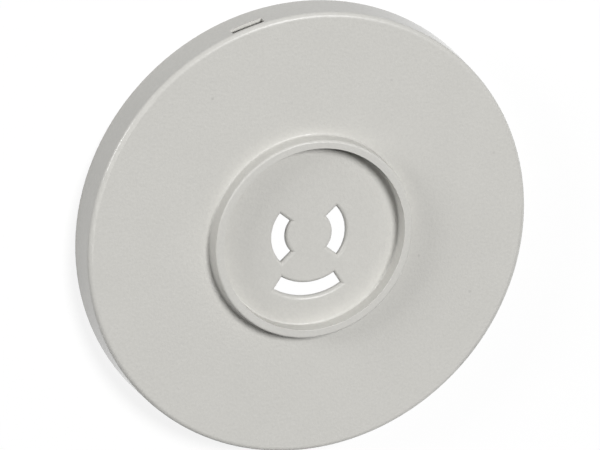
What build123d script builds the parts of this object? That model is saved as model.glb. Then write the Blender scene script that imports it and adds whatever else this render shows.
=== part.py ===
from build123d import *
import math
import os

# Ceiling outlet cover: one moulded plastic piece, lying on its back rim with its face up.
# Millimetres. The origin is the centre of the back rim's plane, and +Z points out of the face.
# +Y is the side away from the single lower slot.

# Overall shell
rim_diameter = 110.0        # widest place, at the back rim
face_height = 9.0           # from the back rim's plane to the flat face
wall = 1.6                  # moulded wall of skirt and face; the back of face and recess floor is one flat
skirt_draft_deg = 3.0       # the skirt narrows from the rim to the face
edge_round = 1.2            # outer rounding between skirt and face
inner_round = 0.8           # rounding inside the shell, between skirt and face

# Raised collar with its round recess
recess_diameter = 45.1      # straight inner wall of the collar
collar_wall = 2.0           # width of the collar's top
collar_height = 3.5         # collar top above the face
collar_draft_deg = 5.2      # slope of the collar's outer wall
recess_drop = 0.35          # recess floor below the face
collar_outer_round = 0.55   # outer edge of the collar's top
collar_inner_round = 0.1    # inner edge of the collar's top
collar_foot_round = 0.45    # hollow between the collar's outer wall and the face
floor_round = 0.4           # hollow between the recess wall and its floor

# Curved slots through the recess floor
slot_width = 3.4            # across each slot's clear opening, along its radius
side_slot_radius = 7.57     # middle line of the two side slots
side_slot_angle_deg = 81.6  # how far each side slot runs round the centre
lower_slot_radius = 13.8    # middle line of the lower slot
lower_slot_angle_deg = 65.6
lower_slot_direction_deg = 267.5  # its middle, from +X towards +Y
slot_lip_round = 0.9        # the floor curves down into a slot by this rounding
lip_share = 0.8             # a lip takes at most this share of the floor's wall

# Slot in the skirt for a screwdriver's tip
pry_slot_length = 8.0       # along the skirt
pry_slot_width = 2.3        # along the axis, on the skirt's outside
pry_slot_depth = 1.25       # its front edge, measured from the face
pry_slot_land = 0.75        # flat part of its back edge
pry_slot_slope_deg = 45.0   # behind its front edge and its land it slopes down into the shell
pry_slot_direction_deg = 104.5    # its middle, from +X towards +Y

# Worked out from the sizes above
rim_radius = rim_diameter / 2
recess_radius = recess_diameter / 2
skirt_slope = math.tan(math.radians(skirt_draft_deg))
collar_slope = math.tan(math.radians(collar_draft_deg))
front_radius = rim_radius - face_height * skirt_slope
collar_z = face_height + collar_height
floor_z = face_height - recess_drop
back_z = face_height - wall
floor_wall = floor_z - back_z
collar_radius = recess_radius + collar_wall
collar_foot_radius = collar_radius + collar_height * collar_slope
inner_rim_radius = rim_radius - wall
inner_front_radius = inner_rim_radius - back_z * skirt_slope
lip_round = min(slot_lip_round, lip_share * floor_wall)


def shell():
    """The whole wall turned round the axis: skirt, face, collar and recess floor."""
    # each corner of the half section: radius, height, rounding
    corners = [
        (rim_radius, 0, 0),
        (front_radius, face_height, edge_round),
        (collar_foot_radius, face_height, collar_foot_round),
        (collar_radius, collar_z, collar_outer_round),
        (recess_radius, collar_z, collar_inner_round),
        (recess_radius, floor_z, floor_round),
        (0, floor_z, 0),
        (0, back_z, 0),
        (inner_front_radius, back_z, inner_round),
        (inner_rim_radius, 0, 0),
    ]
    points = [(radius, 0, height) for radius, height, _ in corners]
    roundings = [rounding for _, _, rounding in corners]
    outline = FilletPolyline(*points, radius=roundings, close=True)
    return revolve(make_face(outline), Axis.Z)


def slot_section(left, right):
    """A slot cut across: straight walls, flared at the recess floor by the rounded lips."""
    lip_z = floor_z - lip_round
    top = floor_z + wall
    bottom = back_z - wall
    lip_left = left - lip_round
    lip_right = right + lip_round
    above = Polyline((lip_left, floor_z), (lip_left, top), (lip_right, top), (lip_right, floor_z))
    below = Polyline((left, lip_z), (left, bottom), (right, bottom), (right, lip_z))
    left_lip = CenterArc((lip_left, lip_z), lip_round, 0, 90)
    right_lip = CenterArc((lip_right, lip_z), lip_round, 90, 90)
    return make_face([above, below, left_lip, right_lip])


def arc_slot(radius, angle_deg, direction_deg):
    """Cutter for one curved slot with straight radial ends, centred on a direction."""
    ring_section = slot_section(radius - slot_width / 2, radius + slot_width / 2)
    cutter = revolve(Plane.XZ * ring_section, Axis.Z)
    # each end keeps its own side of a radial plane, flared in the same way
    far = 2 * recess_radius
    ends = [(slot_section(0, far), -angle_deg / 2), (slot_section(-far, 0), angle_deg / 2)]
    for end_section, turn_deg in ends:
        side = extrude(Plane.YZ * end_section, recess_radius, both=True)
        cutter &= Rot(0, 0, direction_deg + turn_deg) * side
    return cutter


def pry_slot():
    """Cutter for the screwdriver slot, from outside the rim to just past the skirt's inside."""
    front_z = face_height - pry_slot_depth
    low_z = front_z - pry_slot_width
    front_edge = rim_radius - front_z * skirt_slope
    land_end = rim_radius - low_z * skirt_slope - pry_slot_land
    outside = rim_radius + wall
    inside = rim_radius - 2 * (wall + inner_round)
    slope = math.tan(math.radians(pry_slot_slope_deg))
    section = Polyline(
        (outside, front_z),
        (front_edge, front_z),
        (inside, front_z - (front_edge - inside) * slope),
        (inside, low_z - (land_end - inside) * slope),
        (land_end, low_z),
        (outside, low_z),
        close=True,
    )
    cutter = extrude(Plane.XZ * make_face(section), pry_slot_length / 2, both=True)
    return Rot(0, 0, pry_slot_direction_deg) * cutter


def cover():
    body = shell()
    for direction in (0, 180):
        body -= arc_slot(side_slot_radius, side_slot_angle_deg, direction)
    body -= arc_slot(lower_slot_radius, lower_slot_angle_deg, lower_slot_direction_deg)
    return body - pry_slot()


os.makedirs("parts", exist_ok=True)
export_step(cover(), "parts/cover.step")
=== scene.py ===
import math

import bpy
from mathutils import Matrix, Vector

# A ceiling outlet cover lying on its back rim, seen from above as the photograph shows it.
# Metres, in the frame of the solids: the origin is the centre of the back rim, +Z points out of the face.

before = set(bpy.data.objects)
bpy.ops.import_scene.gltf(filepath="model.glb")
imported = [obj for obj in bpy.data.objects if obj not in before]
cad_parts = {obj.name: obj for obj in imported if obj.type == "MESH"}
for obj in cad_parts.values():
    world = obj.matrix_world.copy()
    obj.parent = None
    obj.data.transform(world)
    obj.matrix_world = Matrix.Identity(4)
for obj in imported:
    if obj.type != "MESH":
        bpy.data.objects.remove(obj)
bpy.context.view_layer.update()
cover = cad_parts["cover"]

MM = 0.001

# View
face_height = 9 * MM                   # the flat face above the back rim
camera_tilt = math.radians(27.733)     # between the line of sight and the face's axis
camera_azimuth = math.radians(131.73)  # side that the camera leans to, from +X towards +Y
camera_roll = math.radians(1.004)      # how far the cover's +Y leans to the left of the picture's top
camera_distance = 1333.3 * MM          # back from the face's centre, along the line of sight
camera_right = -2.332 * MM             # the line of sight passes this far right of the face's centre
camera_up = 2.388 * MM                 # and this far above it
camera_lens = 340.14                   # in millimetres, as the sensor's width is
sensor_width = 36.0

# Lamps: round soft boxes that face the middle of the cover
lamp_distance = 6.0
# azimuth from +X towards +Y and elevation in degrees, diameter in metres, watts
lamps = {
    "key": (54.6, 62.6, 2.29, 359.6),
    "left": (155.3, 14.1, 2.69, 187.7),
    "low": (299.5, 24.7, 3.0, 25.7),
}

# Plastic
plastic_colour = (0.59, 0.582, 0.552)
plastic_specular = 0.34
face_roughness = 0.34
skirt_roughness = 0.12             # the skirt is smoother than the grained face
skirt_from = 53.9 * MM             # the change from one to the other, as distances from the axis
skirt_to = 54.5 * MM
noise_roughness = 0.6              # how strong the finer steps of grain and clouds are
grain_size = 0.7 * MM
grain_detail = 2.0
grain_depth = 0.06 * MM
grain_pit_painted_shade = 0.14                 # painted shade: how much lighter the grain's tops are painted than its pits, standing in for the shade in the pits
skirt_grain = 0.25                 # share of the grain's depth that is left on the skirt
cloud_size = 12 * MM               # faint lighter and darker areas
cloud_detail = 3.0
cloud_low = 0.3                    # noise at which a cloud is darkest
cloud_high = 0.7                   # and lightest
cloud_shade = 0.02                 # how much lighter the lightest is than the darkest
speck_size = 0.55 * MM             # how far a speck's soft edge reaches
speck_core = 0.2                   # share of that reach that is fully dark
# places on the face in millimetres from the centre, and how much of the colour each takes away
specks = [
    (-23.3, 37.0, 0.16),
    (40.2, -20.0, 0.12),
    (27.3, -9.0, 0.13),
    (46.5, 14.3, 0.11),
    (21.0, 35.9, 0.09),
]

# Stage
floor_half = 8.0                   # half of the paper's side
rim_radius = 55 * MM               # the back rim, which rests on the paper
rim_wall = 1.6 * MM
slots_reach = 22 * MM              # the paper that shows through the slots lies within this radius
slots_fade = 5 * MM                # its white fades out over this width
paper_bounce = 0.27                # share of the light that the floor passes on to the cover
shadow_share = 0.15                # how much of the floor's look is lit, so that it keeps the shadow
backdrop_full = 0.2                # the backdrop is white up to here, as the sine of the elevation
backdrop_gone = 0.5                # and has faded out here


def link(obj):
    bpy.context.scene.collection.objects.link(obj)
    return obj


def node(tree, kind, **values):
    """A new shader node, with the values of its sockets and settings by name."""
    made = tree.nodes.new(kind)
    for name, value in values.items():
        if name in made.inputs:
            made.inputs[name].default_value = value
        else:
            setattr(made, name, value)
    return made


def map_range(tree, value, start, end, at_start=0.0, at_end=1.0, **settings):
    """A result that goes from at_start to at_end while the value goes from start to end."""
    ends = {"From Min": start, "From Max": end, "To Min": at_start, "To Max": at_end}
    made = node(tree, "ShaderNodeMapRange", **ends, **settings)
    tree.links.new(value, made.inputs["Value"])
    return made.outputs["Result"]


def soft_step(tree, value, start, end, at_start, at_end):
    """A result as map_range gives it, but eased at both ends."""
    return map_range(tree, value, start, end, at_start, at_end, interpolation_type="SMOOTHSTEP")


def combine(tree, operation, first, second):
    """The result of a math operation on two values."""
    made = node(tree, "ShaderNodeMath", operation=operation)
    tree.links.new(first, made.inputs[0])
    tree.links.new(second, made.inputs[1])
    return made.outputs[0]


def distance_of(tree, vector):
    """How far a place is from the origin."""
    made = node(tree, "ShaderNodeVectorMath", operation="LENGTH")
    tree.links.new(vector, made.inputs[0])
    return made.outputs["Value"]


def noise(tree, place, size, detail):
    """Noise with lumps of about this size."""
    made = node(tree, "ShaderNodeTexNoise", Scale=1 / size, Detail=detail, Roughness=noise_roughness)
    tree.links.new(place, made.inputs["Vector"])
    return made.outputs["Fac"]


def mix_shaders(tree, share, first, second):
    """The first shader where the share is 0, the second where it is 1."""
    made = node(tree, "ShaderNodeMixShader")
    tree.links.new(share, made.inputs["Fac"])
    tree.links.new(first.outputs[0], made.inputs[1])
    tree.links.new(second.outputs[0], made.inputs[2])
    return made


def seen_directly(tree):
    """1 for rays from the eye or off a gloss or through glass, 0 for the light that falls on things."""
    path = node(tree, "ShaderNodeLightPath").outputs
    eye_or_gloss = combine(tree, "MAXIMUM", path["Is Camera Ray"], path["Is Glossy Ray"])
    return combine(tree, "MAXIMUM", eye_or_gloss, path["Is Transmission Ray"])


def add_camera():
    back = Vector((
        math.sin(camera_tilt) * math.cos(camera_azimuth),
        math.sin(camera_tilt) * math.sin(camera_azimuth),
        math.cos(camera_tilt),
    ))
    along_y = Vector((0, 1, 0))
    up = (along_y - along_y.dot(back) * back).normalized()
    up = (math.cos(camera_roll) * up + math.sin(camera_roll) * up.cross(back)).normalized()
    right = up.cross(back)
    data = bpy.data.cameras.new("camera")
    data.lens = camera_lens
    data.sensor_width = sensor_width
    camera = link(bpy.data.objects.new("camera", data))
    place = Vector((0, 0, face_height)) + camera_right * right + camera_up * up + camera_distance * back
    turn = Matrix((right, up, back)).transposed().to_4x4()
    camera.matrix_world = Matrix.Translation(place) @ turn
    bpy.context.scene.camera = camera


def add_lamp(name, azimuth, elevation, diameter, watts):
    """A round area lamp that faces the middle of the cover's face."""
    data = bpy.data.lights.new(name, "AREA")
    data.shape = "DISK"
    data.size = diameter
    data.energy = watts
    lamp = link(bpy.data.objects.new(name, data))
    turn = math.radians(azimuth)
    lift = math.radians(elevation)
    away = Vector((math.cos(lift) * math.cos(turn), math.cos(lift) * math.sin(turn), math.sin(lift)))
    lamp.location = Vector((0, 0, face_height)) + lamp_distance * away
    lamp.rotation_mode = "QUATERNION"
    lamp.rotation_quaternion = (-away).to_track_quat("-Z", "Y")


def floor_material():
    """White paper: it looks white, keeps part of the shadow on it, and passes light on as paper does."""
    material = bpy.data.materials.new("floor")
    material.use_nodes = True
    tree = material.node_tree
    tree.nodes.clear()
    paper = node(tree, "ShaderNodeBsdfDiffuse", Color=(paper_bounce, paper_bounce, paper_bounce, 1))
    lit = node(tree, "ShaderNodeBsdfDiffuse", Color=(1, 1, 1, 1))
    white = node(tree, "ShaderNodeEmission", Strength=1.0)
    # white shows through the slots, the paper under the rest of the cover is as dark as it really is
    reach = distance_of(tree, node(tree, "ShaderNodeNewGeometry").outputs["Position"])
    share = node(tree, "ShaderNodeMix", data_type="FLOAT", B=shadow_share)
    tree.links.new(map_range(tree, reach, slots_reach, slots_reach + slots_fade), share.inputs["A"])
    tree.links.new(map_range(tree, reach, rim_radius - rim_wall, rim_radius), share.inputs["Factor"])
    look = mix_shaders(tree, share.outputs["Result"], white, lit)
    both = mix_shaders(tree, seen_directly(tree), paper, look)
    out = node(tree, "ShaderNodeOutputMaterial")
    tree.links.new(both.outputs[0], out.inputs["Surface"])
    return material


def add_floor():
    data = bpy.data.meshes.new("floor")
    corners = [(x * floor_half, y * floor_half, 0) for x, y in ((-1, -1), (1, -1), (1, 1), (-1, 1))]
    data.from_pydata(corners, [], [(0, 1, 2, 3)])
    data.materials.append(floor_material())
    floor = link(bpy.data.objects.new("floor", data))


def add_world():
    """A dark room, with a white backdrop round the horizon for the eye and for gloss."""
    world = bpy.data.worlds.new("world")
    bpy.context.scene.world = world
    world.use_nodes = True
    tree = world.node_tree
    tree.nodes.clear()
    direction = node(tree, "ShaderNodeTexCoord")
    split = node(tree, "ShaderNodeSeparateXYZ")
    tree.links.new(direction.outputs["Generated"], split.inputs[0])
    backdrop = soft_step(tree, split.outputs["Z"], backdrop_full, backdrop_gone, 1.0, 0.0)
    strength = combine(tree, "MULTIPLY", backdrop, seen_directly(tree))
    white = node(tree, "ShaderNodeBackground", Color=(1, 1, 1, 1))
    tree.links.new(strength, white.inputs["Strength"])
    out = node(tree, "ShaderNodeOutputWorld")
    tree.links.new(white.outputs[0], out.inputs["Surface"])


def plastic():
    """Light warm grey plastic with a fine moulded grain whose pits are painted darker as shade, faint
    cloudiness and a few specks of dirt.
    """
    material = bpy.data.materials.new("plastic")
    material.use_nodes = True
    tree = material.node_tree
    shader = tree.nodes["Principled BSDF"]
    shader.inputs["Specular IOR Level"].default_value = plastic_specular
    place = node(tree, "ShaderNodeTexCoord").outputs["Object"]

    flat = node(tree, "ShaderNodeVectorMath", operation="MULTIPLY")
    flat.inputs[1].default_value = (1, 1, 0)
    tree.links.new(place, flat.inputs[0])
    reach = distance_of(tree, flat.outputs["Vector"])

    # the finish changes between face and skirt
    roughness = soft_step(tree, reach, skirt_from, skirt_to, face_roughness, skirt_roughness)
    tree.links.new(roughness, shader.inputs["Roughness"])

    grain = noise(tree, place, grain_size, grain_detail)
    bump = node(tree, "ShaderNodeBump", Distance=grain_depth)
    tree.links.new(soft_step(tree, reach, skirt_from, skirt_to, 1.0, skirt_grain), bump.inputs["Strength"])
    tree.links.new(grain, bump.inputs["Height"])
    tree.links.new(bump.outputs["Normal"], shader.inputs["Normal"])

    # shares of the plain colour, multiplied
    clouds = noise(tree, place, cloud_size, cloud_detail)
    cloudy = map_range(tree, clouds, cloud_low, cloud_high, 1 - cloud_shade / 2, 1 + cloud_shade / 2)
    # painted shade: the grain's pits are painted darker than its tops, for the shade that falls in them
    pit_painted_shade = map_range(tree, grain, 0.0, 1.0, 1 - grain_pit_painted_shade / 2, 1 + grain_pit_painted_shade / 2, clamp=False)
    amount = combine(tree, "MULTIPLY", cloudy, pit_painted_shade)
    for x, y, loss in specks:
        gap = node(tree, "ShaderNodeVectorMath", operation="DISTANCE")
        gap.inputs[1].default_value = (x * MM, y * MM, face_height)
        tree.links.new(place, gap.inputs[0])
        dot = soft_step(tree, gap.outputs["Value"], speck_core * speck_size, speck_size, 1 - loss, 1.0)
        amount = combine(tree, "MULTIPLY", amount, dot)
    tint = node(tree, "ShaderNodeVectorMath", operation="SCALE")
    tint.inputs[0].default_value = plastic_colour
    tree.links.new(amount, tint.inputs["Scale"])
    tree.links.new(tint.outputs["Vector"], shader.inputs["Base Color"])
    return material


add_camera()
for name, values in lamps.items():
    add_lamp(name, *values)
add_floor()
add_world()
cover.data.materials.clear()
cover.data.materials.append(plastic())

bpy.context.scene.view_settings.view_transform = "Standard"
